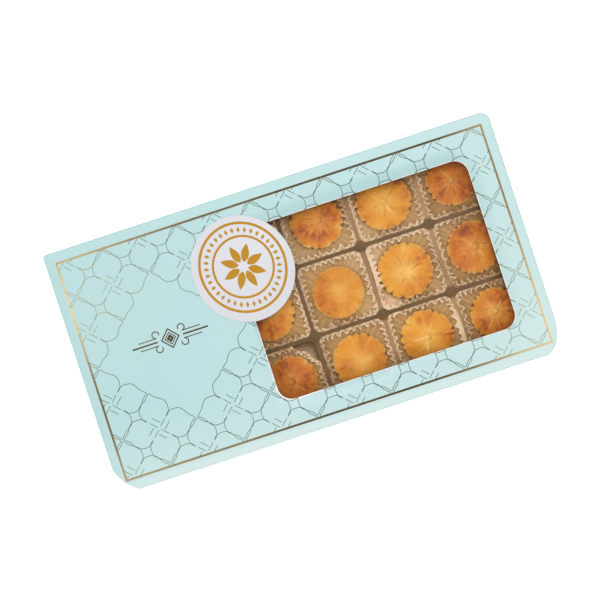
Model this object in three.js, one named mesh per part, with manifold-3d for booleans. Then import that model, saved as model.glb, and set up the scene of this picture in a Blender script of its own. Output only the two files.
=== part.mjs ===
// A shut card gift box of filled, moulded cookies, in millimetres, +Z up.
// The origin is at the middle of the underside, +X runs along the long side and +Y towards the back.
// The lid has a window closed by a clear film. Under it, each cookie sits in a fluted paper case,
// in its own pocket of a formed tray. A round paper label overlaps one corner of the window.
import * as THREE from 'three';
import { mergeVertices } from 'three/addons/utils/BufferGeometryUtils.js';
import Module from 'manifold-3d';

const wasm = await Module();
wasm.setup();

// Carton
const boxLength = 260;
const boxWidth = 140;
const boxHeight = 34;
const cardThickness = 1;
const lidSlack = 0.5; // between the lid's skirt and the base's wall
const skirtBottom = 5; // the base shows below this height
const filmThickness = 0.3;
const filmOverlap = 8; // glued margin of the film round the window
const baseWallTop = boxHeight - cardThickness - filmThickness - 0.2;

// Each corner of the card is worn back: how far along X, how far along Y, and how hollow the cut is
const cornerWear = {
  backLeft: { alongX: 1.6, alongY: 1.6, pinch: 0.1 },
  backRight: { alongX: 4, alongY: 4, pinch: 0.35 },
  frontRight: { alongX: 9.5, alongY: 18, pinch: 0.16 },
  frontLeft: { alongX: 11, alongY: 14, pinch: 0.32 },
};
const cornerSegments = 4;

// Window
const lidWindow = { centreX: 40.5, centreY: 0, length: 138.3, width: 97.9, radius: 8 };

// Tray: a grid of square pockets under the window
const pocketPitch = 40;
const pocketColumns = [-20, 20, 60, 100];
const pocketRows = [40, 0, -40];
const pocketTopSide = 37.5;
const pocketBottomSide = 36.2;
const pocketCornerRadius = 3.5;
const trayTop = 22;
const pocketFloor = 2.5;
const cutterReach = 5; // how far a pocket's cutter stands over the tray
const traySlack = 0.3; // to the base's wall

// Paper cases
const caseFloorThickness = 0.5;
const casePaper = 0.8; // thicker than real paper, so that the wall stays sound on the flutes
const caseTop = 22.75;
const caseSlack = 0.3; // to the pocket's wall
const caseCornerRadius = 4.5;
const flutesPerSide = 8;
const fluteDepthTop = 2.2;
const fluteDepthBottom = 1.3;
const cookieRoom = 0.35; // between a cookie's widest ring and its case

// Cookies: column letter and row number, centre, width across, height, groove depth, turn in degrees
const scallopCount = 24;
const grooveEvery = 2; // scallops between two grooves
const scallopDepth = 0.75;
const dimpleDepth = 1.4;
const cookies = [
  { name: 'a1', x: -20.2, y: 40.1, across: 30.8, height: 20.2, groove: 0.8, turn: 5 },
  { name: 'b1', x: 20.6, y: 40.6, across: 31.4, height: 20.6, groove: 0.9, turn: 12 },
  { name: 'c1', x: 59.8, y: 39.6, across: 32.6, height: 20.8, groove: 0.8, turn: 3 },
  { name: 'd1', x: 99.6, y: 39.7, across: 30.4, height: 19.9, groove: 0.9, turn: 9 },
  { name: 'a2', x: -20.9, y: -0.2, across: 31.2, height: 20.3, groove: 0.9, turn: 14 },
  { name: 'b2', x: 20.1, y: -0.6, across: 30.2, height: 20.0, groove: 0.3, turn: 7 },
  { name: 'c2', x: 59.6, y: -0.6, across: 32.4, height: 21.0, groove: 0.9, turn: 0 },
  { name: 'd2', x: 100.0, y: -0.1, across: 31.2, height: 20.2, groove: 0.9, turn: 16 },
  { name: 'a3', x: -19.7, y: -40.0, across: 30.0, height: 19.8, groove: 0.7, turn: 11 },
  { name: 'b3', x: 19.9, y: -40.6, across: 31.8, height: 20.4, groove: 0.7, turn: 4 },
  { name: 'c3', x: 59.8, y: -39.3, across: 31.2, height: 20.5, groove: 0.9, turn: 8 },
  { name: 'd3', x: 100.6, y: -39.2, across: 30.6, height: 20.1, groove: 0.9, turn: 2 },
];
const cookieProfile = [
  // share of the radius, share of the height, share of the scallops, share of the grooves
  { reach: 0.88, rise: 0, scallop: 0.6, groove: 0 },
  { reach: 1, rise: 0.48, scallop: 1, groove: 0 },
  { reach: 0.84, rise: 0.86, scallop: 0.5, groove: 1 },
  { reach: 0.42, rise: 0.985, scallop: 0, groove: 0.7 },
  { reach: 0.11, rise: 1, scallop: 0, groove: 0.3 },
];

// Label: a slightly oval paper disc on the lid
const label = { centreX: -26.2, centreY: 28.5, longRadius: 30.4, shortRadius: 28.3, tiltDegrees: -72.3 };
const labelThickness = 0.3;
const labelSegments = 24; // for half the rim

// Finishes
const finish = {
  card: new THREE.MeshStandardMaterial({ color: 0xc0e4e4, roughness: 0.55 }),
  film: new THREE.MeshStandardMaterial({ color: 0xf4f8f8, roughness: 0.08, transparent: true, opacity: 0.15 }),
  tray: new THREE.MeshStandardMaterial({ color: 0x6b5039, roughness: 0.45 }),
  paper: new THREE.MeshStandardMaterial({ color: 0xd9b48a, roughness: 0.8 }),
  cookie: new THREE.MeshStandardMaterial({ color: 0xe0a045, roughness: 0.7 }),
  label: new THREE.MeshStandardMaterial({ color: 0xe4dee8, roughness: 0.4 }),
};

// Shared helpers
function toManifold(geometry) {
  const bare = geometry.clone();
  bare.deleteAttribute('normal');
  bare.deleteAttribute('uv');
  const merged = mergeVertices(bare, 1e-5);
  return new wasm.Manifold(new wasm.Mesh({
    numProp: 3,
    vertProperties: new Float32Array(merged.attributes.position.array),
    triVerts: new Uint32Array(merged.index.array),
  }));
}

function toGeometry(solid) {
  const mesh = solid.getMesh();
  const geometry = new THREE.BufferGeometry();
  geometry.setAttribute('position', new THREE.BufferAttribute(new Float32Array(mesh.vertProperties), 3));
  geometry.setIndex(new THREE.BufferAttribute(new Uint32Array(mesh.triVerts), 1));
  geometry.computeVertexNormals();
  return geometry;
}

function slab(shape, low, high, curveSegments = cornerSegments) {
  const geometry = new THREE.ExtrudeGeometry(shape, { depth: high - low, bevelEnabled: false, curveSegments });
  geometry.translate(0, 0, low);
  return geometry;
}

// A closed skin over rings of equal count, ended by a fan to the point in the middle of each end ring
function skin(rings, startPoint, endPoint) {
  const count = rings[0].length;
  const positions = [startPoint, ...rings.flat(), endPoint].flatMap((p) => [p.x, p.y, p.z]);
  const index = [];
  const at = (ring, k) => 1 + ring * count + (k % count);
  const last = rings.length - 1;
  const endIndex = 1 + rings.length * count;
  for (let k = 0; k < count; k++) {
    index.push(0, at(0, k + 1), at(0, k));
    index.push(endIndex, at(last, k), at(last, k + 1));
    for (let r = 0; r < last; r++) {
      index.push(at(r, k), at(r, k + 1), at(r + 1, k + 1));
      index.push(at(r, k), at(r + 1, k + 1), at(r + 1, k));
    }
  }
  const geometry = new THREE.BufferGeometry();
  geometry.setAttribute('position', new THREE.BufferAttribute(new Float32Array(positions), 3));
  geometry.setIndex(index);
  geometry.computeVertexNormals();
  return geometry;
}

function roundedRectangle(centreX, centreY, length, width, radius) {
  const shape = new THREE.Shape();
  const [left, right] = [centreX - length / 2, centreX + length / 2];
  const [front, back] = [centreY - width / 2, centreY + width / 2];
  shape.moveTo(left + radius, front);
  shape.lineTo(right - radius, front);
  shape.absarc(right - radius, front + radius, radius, -Math.PI / 2, 0);
  shape.lineTo(right, back - radius);
  shape.absarc(right - radius, back - radius, radius, 0, Math.PI / 2);
  shape.lineTo(left + radius, back);
  shape.absarc(left + radius, back - radius, radius, Math.PI / 2, Math.PI);
  shape.lineTo(left, front + radius);
  shape.absarc(left + radius, front + radius, radius, Math.PI, Math.PI * 1.5);
  return shape;
}

// Carton
// The card's outline, set in from the box's outside. A worn corner is cut less the further in it is,
// so that the wall keeps its thickness there.
function cardOutline(inset) {
  const halfX = boxLength / 2 - inset;
  const halfY = boxWidth / 2 - inset;
  const corners = [
    { ...cornerWear.frontRight, signX: 1, signY: -1, yFirst: false },
    { ...cornerWear.backRight, signX: 1, signY: 1, yFirst: true },
    { ...cornerWear.backLeft, signX: -1, signY: 1, yFirst: false },
    { ...cornerWear.frontLeft, signX: -1, signY: -1, yFirst: true },
  ];
  const shape = new THREE.Shape();
  corners.forEach((corner, i) => {
    const diagonal = Math.hypot(1 / corner.alongX, 1 / corner.alongY);
    const keep = Math.max(0.3, 1 - inset * (1 / corner.alongX + 1 / corner.alongY - diagonal));
    const [cutX, cutY] = [corner.alongX * keep, corner.alongY * keep];
    const onX = [corner.signX * (halfX - cutX), corner.signY * halfY];
    const onY = [corner.signX * halfX, corner.signY * (halfY - cutY)];
    const pull = [
      corner.signX * (halfX - cutX * corner.pinch),
      corner.signY * (halfY - cutY * corner.pinch),
    ];
    const [from, to] = corner.yFirst ? [onY, onX] : [onX, onY];
    if (i === 0) shape.moveTo(...from);
    else shape.lineTo(...from);
    shape.quadraticCurveTo(...pull, ...to);
  });
  return shape;
}

function cartonBase() {
  const outside = cardThickness + lidSlack;
  const block = toManifold(slab(cardOutline(outside), 0, baseWallTop));
  const hollow = toManifold(slab(cardOutline(outside + cardThickness), cardThickness, boxHeight));
  return toGeometry(block.subtract(hollow));
}

function cartonLid() {
  const { centreX, centreY, length, width, radius } = lidWindow;
  const block = toManifold(slab(cardOutline(0), skirtBottom, boxHeight));
  const hollow = toManifold(slab(cardOutline(cardThickness), 0, boxHeight - cardThickness));
  const opening = toManifold(slab(roundedRectangle(centreX, centreY, length, width, radius), 0, boxHeight + 1));
  return toGeometry(block.subtract(hollow).subtract(opening));
}

function windowFilm() {
  const { centreX, centreY, length, width, radius } = lidWindow;
  const sheet = roundedRectangle(
    centreX, centreY, length + 2 * filmOverlap, width + 2 * filmOverlap, radius / 2);
  const underLid = boxHeight - cardThickness;
  return slab(sheet, underLid - filmThickness, underLid, 2);
}

function paperLabel() {
  const { centreX, centreY, longRadius, shortRadius, tiltDegrees } = label;
  const shape = new THREE.Shape();
  const tilt = THREE.MathUtils.degToRad(tiltDegrees);
  shape.absellipse(centreX, centreY, longRadius, shortRadius, 0, Math.PI * 2, false, tilt);
  return slab(shape, boxHeight, boxHeight + labelThickness, labelSegments);
}

// Tray
// The points of a rounded square with a given number on each side, starting at the middle of a corner,
// anticlockwise, each with its outward direction
function squareRound(side, radius, perSide) {
  const points = [];
  const straight = side - 2 * radius;
  const arc = (Math.PI / 2) * radius;
  const sideLength = straight + arc;
  for (let quarter = 0; quarter < 4; quarter++) {
    for (let k = 0; k < perSide; k++) {
      const run = (k / perSide) * sideLength - arc / 2; // from the end of the corner's arc
      const centre = new THREE.Vector2(side / 2 - radius, -side / 2 + radius);
      const point = new THREE.Vector2();
      const outward = new THREE.Vector2();
      if (run < 0 || run > straight) {
        const past = run < 0 ? run : run - straight;
        const angle = past / radius;
        if (run > straight) centre.y += straight;
        outward.set(Math.cos(angle), Math.sin(angle));
        point.copy(centre).addScaledVector(outward, radius);
      } else {
        outward.set(1, 0);
        point.set(side / 2, centre.y + run);
      }
      const turn = (quarter * Math.PI) / 2;
      const origin = new THREE.Vector2();
      point.rotateAround(origin, turn);
      outward.rotateAround(origin, turn);
      points.push({ point, outward });
    }
  }
  return points;
}

function pocket(centreX, centreY) {
  const ring = (side, z) => {
    const corner = side / 2 - pocketCornerRadius;
    const points = [];
    for (let quarter = 0; quarter < 4; quarter++) {
      for (let k = 0; k <= cornerSegments; k++) {
        const angle = (quarter + k / cornerSegments) * (Math.PI / 2);
        const [signX, signY] = [quarter % 3 === 0 ? 1 : -1, quarter < 2 ? 1 : -1];
        points.push(new THREE.Vector3(
          centreX + signX * corner + pocketCornerRadius * Math.cos(angle),
          centreY + signY * corner + pocketCornerRadius * Math.sin(angle),
          z,
        ));
      }
    }
    return points;
  };
  const above = trayTop + cutterReach;
  const widening = (pocketTopSide - pocketBottomSide) / (trayTop - pocketFloor);
  const aboveSide = pocketBottomSide + widening * (above - pocketFloor);
  return skin(
    [ring(pocketBottomSide, pocketFloor), ring(aboveSide, above)],
    new THREE.Vector3(centreX, centreY, pocketFloor),
    new THREE.Vector3(centreX, centreY, above),
  );
}

function formedTray() {
  const outside = 2 * cardThickness + lidSlack + traySlack;
  let tray = toManifold(slab(cardOutline(outside), cardThickness, trayTop));
  for (const x of pocketColumns) {
    for (const y of pocketRows) {
      tray = tray.subtract(toManifold(pocket(x, y)));
    }
  }
  return toGeometry(tray);
}

// Paper cases
// Crests lie along the pocket's wall and valleys stand in from it, but never closer to the cookie
// than its own room: where the cookie is wide, it presses the flutes flat.
function caseRing(cookie, pocketX, pocketY, z, depth, thickness) {
  const rise = (z - pocketFloor) / (trayTop - pocketFloor);
  const pocketSide = pocketBottomSide + (pocketTopSide - pocketBottomSide) * rise;
  const crestSide = pocketSide - 2 * caseSlack;
  const pointsPerSide = flutesPerSide * 2;
  const room = cookie.across / 2 + cookieRoom + casePaper;
  return squareRound(crestSide, caseCornerRadius, pointsPerSide).map(({ point, outward }, k) => {
    const valley = k % 2 === 1;
    const place = new THREE.Vector2(pocketX, pocketY).add(point).addScaledVector(outward, valley ? -depth : 0);
    const fromCookie = place.clone().sub(new THREE.Vector2(cookie.x, cookie.y));
    if (valley && fromCookie.length() < room) {
      fromCookie.setLength(room);
      place.set(cookie.x + fromCookie.x, cookie.y + fromCookie.y);
    }
    place.addScaledVector(outward, -thickness);
    return new THREE.Vector3(place.x, place.y, z);
  });
}

function paperCase(cookie, pocketX, pocketY) {
  const innerFloor = pocketFloor + caseFloorThickness;
  const rings = [
    caseRing(cookie, pocketX, pocketY, pocketFloor, fluteDepthBottom, 0),
    caseRing(cookie, pocketX, pocketY, caseTop, fluteDepthTop, 0),
    caseRing(cookie, pocketX, pocketY, caseTop, fluteDepthTop, casePaper),
    caseRing(cookie, pocketX, pocketY, innerFloor, fluteDepthBottom, casePaper),
  ];
  return skin(
    rings,
    new THREE.Vector3(pocketX, pocketY, pocketFloor),
    new THREE.Vector3(pocketX, pocketY, innerFloor),
  );
}

// Cookies
function mouldedCookie({ x, y, across, height, groove, turn }) {
  const bottom = pocketFloor + caseFloorThickness;
  const count = scallopCount * 2;
  const turned = THREE.MathUtils.degToRad(turn);
  const rings = cookieProfile.map((level) => Array.from({ length: count }, (_, k) => {
    const angle = turned + (k / count) * Math.PI * 2;
    const notch = k % 2 === 1 ? scallopDepth * level.scallop : 0;
    const grooved = k % (2 * grooveEvery) === 1 ? groove * level.groove : 0;
    const radius = (across / 2) * level.reach - notch;
    return new THREE.Vector3(
      x + radius * Math.cos(angle),
      y + radius * Math.sin(angle),
      bottom + height * level.rise - grooved,
    );
  }));
  return skin(
    rings,
    new THREE.Vector3(x, y, bottom),
    new THREE.Vector3(x, y, bottom + height - dimpleDepth),
  );
}

// Assembly
const box = new THREE.Group();

function place(name, geometry, material) {
  const mesh = new THREE.Mesh(geometry, material);
  mesh.name = name;
  box.add(mesh);
}

place('card_base', cartonBase(), finish.card);
place('card_lid', cartonLid(), finish.card);
place('window_film', windowFilm(), finish.film);
place('tray', formedTray(), finish.tray);
place('label', paperLabel(), finish.label);
for (const cookie of cookies) {
  const pocketX = pocketPitch * Math.round((cookie.x - pocketColumns[0]) / pocketPitch) + pocketColumns[0];
  const pocketY = pocketPitch * Math.round(cookie.y / pocketPitch);
  place(`paper_case_${cookie.name}`, paperCase(cookie, pocketX, pocketY), finish.paper);
  place(`cookie_${cookie.name}`, mouldedCookie(cookie), finish.cookie);
}

export default box;
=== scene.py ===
# A shut gift box of moulded, filled cookies, seen from straight above: printed mint card with gold foil,
# a clear window, fluted paper cases in a brown tray, and a round label over one corner of the window.
import math
from itertools import product

import bmesh
import bpy
import numpy as np
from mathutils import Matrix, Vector, noise
from mathutils.geometry import delaunay_2d_cdt


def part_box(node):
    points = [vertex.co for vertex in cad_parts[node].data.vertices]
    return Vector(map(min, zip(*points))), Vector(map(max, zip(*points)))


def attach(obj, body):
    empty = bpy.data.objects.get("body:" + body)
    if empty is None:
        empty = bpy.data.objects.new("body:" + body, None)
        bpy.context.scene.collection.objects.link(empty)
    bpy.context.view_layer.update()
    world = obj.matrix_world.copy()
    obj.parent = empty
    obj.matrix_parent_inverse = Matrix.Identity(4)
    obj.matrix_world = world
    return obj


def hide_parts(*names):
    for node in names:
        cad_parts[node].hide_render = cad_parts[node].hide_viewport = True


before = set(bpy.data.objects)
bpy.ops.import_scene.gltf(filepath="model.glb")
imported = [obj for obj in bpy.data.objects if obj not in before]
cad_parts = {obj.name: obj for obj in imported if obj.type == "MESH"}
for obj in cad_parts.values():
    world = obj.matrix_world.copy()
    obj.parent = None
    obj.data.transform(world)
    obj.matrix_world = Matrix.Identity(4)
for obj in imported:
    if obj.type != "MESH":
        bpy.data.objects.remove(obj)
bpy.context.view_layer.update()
mm = 0.001
print("frame loaded:", len(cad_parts), "nodes")

lidLow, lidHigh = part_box("card_lid")
baseLow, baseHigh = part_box("card_base")
filmLow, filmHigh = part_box("window_film")
trayLow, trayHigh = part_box("tray")
labelLow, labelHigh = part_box("label")
cookieKeys = sorted(n[len("cookie_"):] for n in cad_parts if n.startswith("cookie_"))


# Mesh helpers: points are metres in the part's frame

def smoothNoise(x, y, z, scale):
    return noise.noise(Vector((x, y, z)) * scale)


def addPiece(name, points, faces, materials, faceSlots=None, sharpDegrees=35, attributes=None):
    mesh = bpy.data.meshes.new(name)
    mesh.from_pydata([tuple(p) for p in points], [], faces)
    for material in materials:
        mesh.materials.append(material)
    if faceSlots is not None:
        mesh.polygons.foreach_set("material_index", np.asarray(faceSlots, dtype=np.int32))
    for key, values in (attributes or {}).items():
        layer = mesh.attributes.new(key, "FLOAT", "POINT")
        layer.data.foreach_set("value", np.asarray(values, dtype=np.float32))
    mesh.update()
    mesh.shade_smooth()
    mesh.set_sharp_from_angle(angle=math.radians(sharpDegrees))
    piece = bpy.data.objects.new(name, mesh)
    bpy.context.scene.collection.objects.link(piece)
    return piece


def finishPiece(piece, node=None):
    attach(piece, "root")
    if node:
        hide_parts(node)


def joinMeshes(parts):
    # One list of points and one of faces, from parts that each have both
    points, faces = [], []
    for partPoints, partFaces in parts:
        start = len(points)
        points += partPoints
        faces += [tuple(start + i for i in face) for face in partFaces]
    return points, faces


def weld(piece, distance=1e-6):
    work = bmesh.new()
    work.from_mesh(piece.data)
    bmesh.ops.remove_doubles(work, verts=work.verts, dist=distance)
    bmesh.ops.recalc_face_normals(work, faces=work.faces)
    work.to_mesh(piece.data)
    work.free()
    piece.data.update()


def ringFaces(ringCount, count, start=0):
    pairs = [(start + r * count + k, start + r * count + (k + 1) % count)
             for r in range(ringCount - 1) for k in range(count)]
    return [(a, b, b + count, a + count) for a, b in pairs]


def ringSlots(slots, count):
    # The material slot of each face between rings, where the higher of the two rings' slots wins
    return [max(pair) for pair in zip(slots, slots[1:]) for _ in range(count)]


def capFace(start, count, turned=False):
    face = tuple(range(start, start + count))
    return face[::-1] if turned else face


def skinFaces(ringCount, count):
    # Rings closed by fans: the first point is the middle of the one end, and the last that of the other
    last = 1 + ringCount * count
    pairs = [(k, (k + 1) % count) for k in range(count)]
    fans = [(0, 1 + b, 1 + a) for a, b in pairs]
    fans += [(last, last - count + a, last - count + b) for a, b in pairs]
    return ringFaces(ringCount, count, 1) + fans


def insideLoop(spot, loop, margin):
    # For convex loops that run anticlockwise: at least margin inside every side, or within -margin outside
    loop = np.asarray(loop)
    step = np.roll(loop, -1, axis=0) - loop
    length = np.maximum(np.hypot(*step.T), 1e-12)
    side = (step[:, 0] * (spot[1] - loop[:, 1]) - step[:, 1] * (spot[0] - loop[:, 0])) / length
    return side.min() >= margin


def fillPlane(outline, holes, spacing, height):
    # Triangles between an outline and its holes, with a grid of points inside, each lifted by height(x, y)
    def inField(spot, margin):
        inHole = any(insideLoop(spot, hole, -margin) for hole in holes)
        return insideLoop(spot, outline, margin) and not inHole

    loops = [outline, *holes]
    points = [Vector(p) for loop in loops for p in loop]
    edges, start = [], 0
    for loop in loops:
        edges += [(start + k, start + (k + 1) % len(loop)) for k in range(len(loop))]
        start += len(loop)
    low, high = np.min(outline, axis=0), np.max(outline, axis=0)
    steps = ((high - low) / spacing).astype(int)
    grid = [low + (i * spacing, j * spacing) for i in range(1, steps[0]) for j in range(1, steps[1])]
    points += [Vector(spot) for spot in grid if inField(spot, spacing * 0.4)]
    made, _, triangles, *_ = delaunay_2d_cdt(points, edges, [], 0, 1e-9)
    kept = [tuple(t) for t in triangles if inField(sum((made[i] for i in t), Vector((0, 0))) / 3, 0)]
    return [(p.x, p.y, height(p.x, p.y)) for p in made], kept


def arcPath(centreX, centreY, radius, fromDegrees, toDegrees, steps):
    turns = np.radians(np.linspace(fromDegrees, toDegrees, steps + 1))
    return [(centreX + radius * math.cos(t), centreY + radius * math.sin(t)) for t in turns]


def lineSpots(start, stop, count):
    # Evenly spaced spots from start towards stop, which itself is left out
    (x0, y0), (x1, y1) = start, stop
    return [(x0 + (x1 - x0) * k / count, y0 + (y1 - y0) * k / count) for k in range(count)]


def closedLoop(curves, counts):
    # Corner curves and the straight sides between them, each side in its count of steps
    loop = []
    for curve, following, count in zip(curves, curves[1:] + curves[:1], counts):
        loop += [*curve, *lineSpots(curve[-1], following[0], count)[1:]]
    return loop


def roundedLoop(centreX, centreY, length, width, radius, cornerSteps, edgeSteps):
    arcs = []
    for signX, signY, start in ((1, -1, -90), (1, 1, 0), (-1, 1, 90), (-1, -1, 180)):
        x, y = centreX + signX * (length / 2 - radius), centreY + signY * (width / 2 - radius)
        arcs.append(arcPath(x, y, radius, start, start + 90, cornerSteps))
    return closedLoop(arcs, [edgeSteps] * 4)


def quarterRound(steps):
    # A rounded edge from its flat to its side: how far in and how far down, as shares of its radius
    turns = np.radians(np.linspace(0, 90, steps + 1))
    return list(zip(1 - np.sin(turns), 1 - np.cos(turns)))


# Shader helpers, in which a value is a plain one or another node's socket

def addNode(tree, kind, inputs=None, **settings):
    node = tree.nodes.new(kind)
    for key, value in settings.items():
        setattr(node, key, value)
    for key, value in (inputs or {}).items():
        if isinstance(value, bpy.types.NodeSocket):
            tree.links.new(value, node.inputs[key])
        else:
            node.inputs[key].default_value = value
    return node


def times(tree, value, share):
    return addNode(tree, "ShaderNodeMath", {0: value, 1: share}, operation="MULTIPLY").outputs[0]


def plus(tree, value, other):
    return addNode(tree, "ShaderNodeMath", {0: value, 1: other}, operation="ADD").outputs[0]


def mapped(tree, value, fromLow, fromHigh, toLow=0.0, toHigh=1.0):
    node = addNode(tree, "ShaderNodeMapRange", {
        "Value": value, "From Min": fromLow, "From Max": fromHigh, "To Min": toLow, "To Max": toHigh})
    return node.outputs[0]


def mixColour(tree, factor, *colours):
    first, second = (c if isinstance(c, bpy.types.NodeSocket) else (*c, 1.0) for c in colours)
    return addNode(tree, "ShaderNodeMix", {0: factor, 6: first, 7: second}, data_type="RGBA").outputs[2]


def attribute(tree, name):
    return addNode(tree, "ShaderNodeAttribute", attribute_name=name).outputs["Fac"]


def newGroup(name, inputs, outputs):
    tree = bpy.data.node_groups.new(name, "ShaderNodeTree")
    for label, value in inputs.items():
        kind = "NodeSocketVector" if isinstance(value, tuple) else "NodeSocketFloat"
        socket = tree.interface.new_socket(name=label, in_out="INPUT", socket_type=kind)
        socket.default_value = value
    for label in outputs:
        tree.interface.new_socket(name=label, in_out="OUTPUT", socket_type="NodeSocketFloat")
    start, end = tree.nodes.new("NodeGroupInput"), tree.nodes.new("NodeGroupOutput")
    return tree, start.outputs, end.inputs, addNode(tree, "ShaderNodeTexCoord").outputs["Object"]


def buildGrainGroup():
    # Fibres of paper or board: a fine height and a slight change of tone
    tree, given, wanted, place = newGroup("fibreGrain", {"Scale": 900.0, "Tone": 0.03}, ["Height", "Shade"])
    fine = addNode(tree, "ShaderNodeTexNoise", {
        "Vector": place, "Scale": given["Scale"], "Detail": 4.0, "Roughness": 0.6}).outputs[0]
    broad = addNode(tree, "ShaderNodeTexNoise", {
        "Vector": place, "Scale": 22.0, "Detail": 3.0, "Roughness": 0.5}).outputs[0]
    swing = times(tree, plus(tree, plus(tree, fine, broad), -1.0), given["Tone"])
    tree.links.new(fine, wanted["Height"])
    tree.links.new(plus(tree, swing, 1.0), wanted["Shade"])
    return tree


def buildPatchGroup():
    # Soft uneven patches, from 0 to 1
    tree, given, wanted, place = newGroup(
        "softPatches", {"Scale": 60.0, "From": 0.45, "To": 0.7, "Shift": (0.0, 0.0, 0.0)}, ["Mask"])
    moved = addNode(tree, "ShaderNodeVectorMath", {0: place, 1: given["Shift"]}, operation="ADD")
    cloud = addNode(tree, "ShaderNodeTexNoise", {
        "Vector": moved.outputs[0], "Scale": given["Scale"], "Detail": 5.0, "Roughness": 0.55,
        "Distortion": 0.4})
    spread = addNode(tree, "ShaderNodeMapRange", {
        "Value": cloud.outputs[0], "From Min": given["From"], "From Max": given["To"]},
        interpolation_type="SMOOTHSTEP")
    tree.links.new(spread.outputs[0], wanted["Mask"])
    return tree


grainGroup = buildGrainGroup()
patchGroup = buildPatchGroup()


def softPatches(tree, scale, low, high, shift=(0.0, 0.0, 0.0)):
    inputs = {"Scale": scale, "From": low, "To": high, "Shift": shift}
    return addNode(tree, "ShaderNodeGroup", inputs, node_tree=patchGroup).outputs["Mask"]


def startMaterial(name, **sockets):
    # The sockets' names are written with an underscore for each space
    material = bpy.data.materials.new(name)
    material.use_nodes = True
    tree = material.node_tree
    shader = tree.nodes["Principled BSDF"]
    for key, value in sockets.items():
        shader.inputs[key.replace("_", " ")].default_value = value
    return material, tree, shader


def grainCoat(tree, shader, colour, scale, tone, strength, distance):
    # A fibre grain, by its tone in the colour and by its bump over the surface
    fibres = addNode(tree, "ShaderNodeGroup", {"Scale": scale, "Tone": tone}, node_tree=grainGroup).outputs
    shaded = addNode(tree, "ShaderNodeVectorMath", {0: colour, "Scale": fibres["Shade"]}, operation="SCALE")
    bump = addNode(tree, "ShaderNodeBump", {
        "Height": fibres["Height"], "Strength": strength, "Distance": distance})
    tree.links.new(shaded.outputs[0], shader.inputs["Base Color"])
    tree.links.new(bump.outputs[0], shader.inputs["Normal"])


# Card

cardLook = {
    "mint": (0.383, 0.589, 0.595),
    "mintLight": (0.56, 0.70, 0.68),
    # and, as painted light, paler towards the front corners: along X, along Y, and by how much
    "frontLeft": ((0.02, -0.12), (-0.030, -0.062), 0.38),
    "frontRight": ((0.09, 0.13), (0.0, -0.06), 0.30),
    "frontMargin": (-0.063, -0.067),  # painted light: the card is paler from here to here along Y
    "board": (0.80, 0.79, 0.76),
    "slope": (-0.12, 0.20, 0.0, 0.4),  # painted light: the card is paler towards the front right corner; X minus Y from, to, and by how much
    "roughness": (0.37, 0.48),
}


def buildCardMaterial():
    look = cardLook
    material, tree, shader = startMaterial("printedCard", IOR=1.45)
    patches = softPatches(tree, 9.0, 0.35, 0.75)
    place = addNode(tree, "ShaderNodeTexCoord").outputs["Object"]
    x, y, _ = addNode(tree, "ShaderNodeSeparateXYZ", {0: place}).outputs
    # painted light: paler towards the front right, towards the front corners and along the front margin
    slope = mapped(tree, plus(tree, x, times(tree, y, -1.0)), *look["slope"])
    lift = plus(tree, times(tree, patches, 0.25), slope)
    for alongX, alongY, most in (look["frontLeft"], look["frontRight"]):
        corner = times(tree, mapped(tree, x, *alongX, 0, most), mapped(tree, y, *alongY))
        lift = plus(tree, lift, corner)
    panel = mixColour(tree, lift, look["mint"], look["mintLight"])
    front = mapped(tree, y, *look["frontMargin"], 0.0, 0.95)
    colour = mixColour(tree, front, panel, look["mintLight"])
    tree.links.new(mapped(tree, patches, 0, 1, *look["roughness"]), shader.inputs["Roughness"])
    grainCoat(tree, shader, colour, 1400.0, 0.02, 0.06, 0.0001)
    return material


def buildBoardMaterial():
    material, tree, shader = startMaterial("bareBoard", Roughness=0.85)
    grainCoat(tree, shader, cardLook["board"], 700.0, 0.06, 0.15, 0.0002)
    return material


printedCard = buildCardMaterial()
bareBoard = buildBoardMaterial()

lidSize = {
    "card": 1.0 * mm,
    "foldRadius": 0.9 * mm,
    "innerFold": 0.3 * mm,
    "baseFold": 0.7 * mm,
    "edgeSoftness": 0.15 * mm,
    "panelGrid": 6 * mm,
    "innerGrid": 9 * mm,
    "panelWave": 0.12 * mm,
    "cornerSink": 0.7 * mm,  # how far the worn front corners dip
    "cornerReach": 16 * mm,
    "skirtPull": 0.25 * mm,  # how far the skirts bow in at the middle
    "windowCentre": (40.5 * mm, 0.0),
    "windowLength": 138.3 * mm,
    "windowWidth": 97.9 * mm,
    "windowRadius": 8 * mm,
    "bevelDrop": 0.35 * mm,
    "bevel": (0.45 * mm, 0.6 * mm),  # width of the white cut edge: everywhere, and more at its widest
    "bevelWidest": (-28.6 * mm, -48.9 * mm, 22 * mm),  # where it is widest, and how far that reaches
}
# How far each corner of the card is worn back along X and Y, and how hollow the cut is
cornerWear = [
    {"sign": (1, -1), "along": (9.5 * mm, 18 * mm), "pinch": 0.16, "yFirst": False},
    {"sign": (1, 1), "along": (4 * mm, 4 * mm), "pinch": 0.35, "yFirst": True},
    {"sign": (-1, 1), "along": (1.6 * mm, 1.6 * mm), "pinch": 0.1, "yFirst": False},
    {"sign": (-1, -1), "along": (11 * mm, 14 * mm), "pinch": 0.32, "yFirst": True},
]


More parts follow.
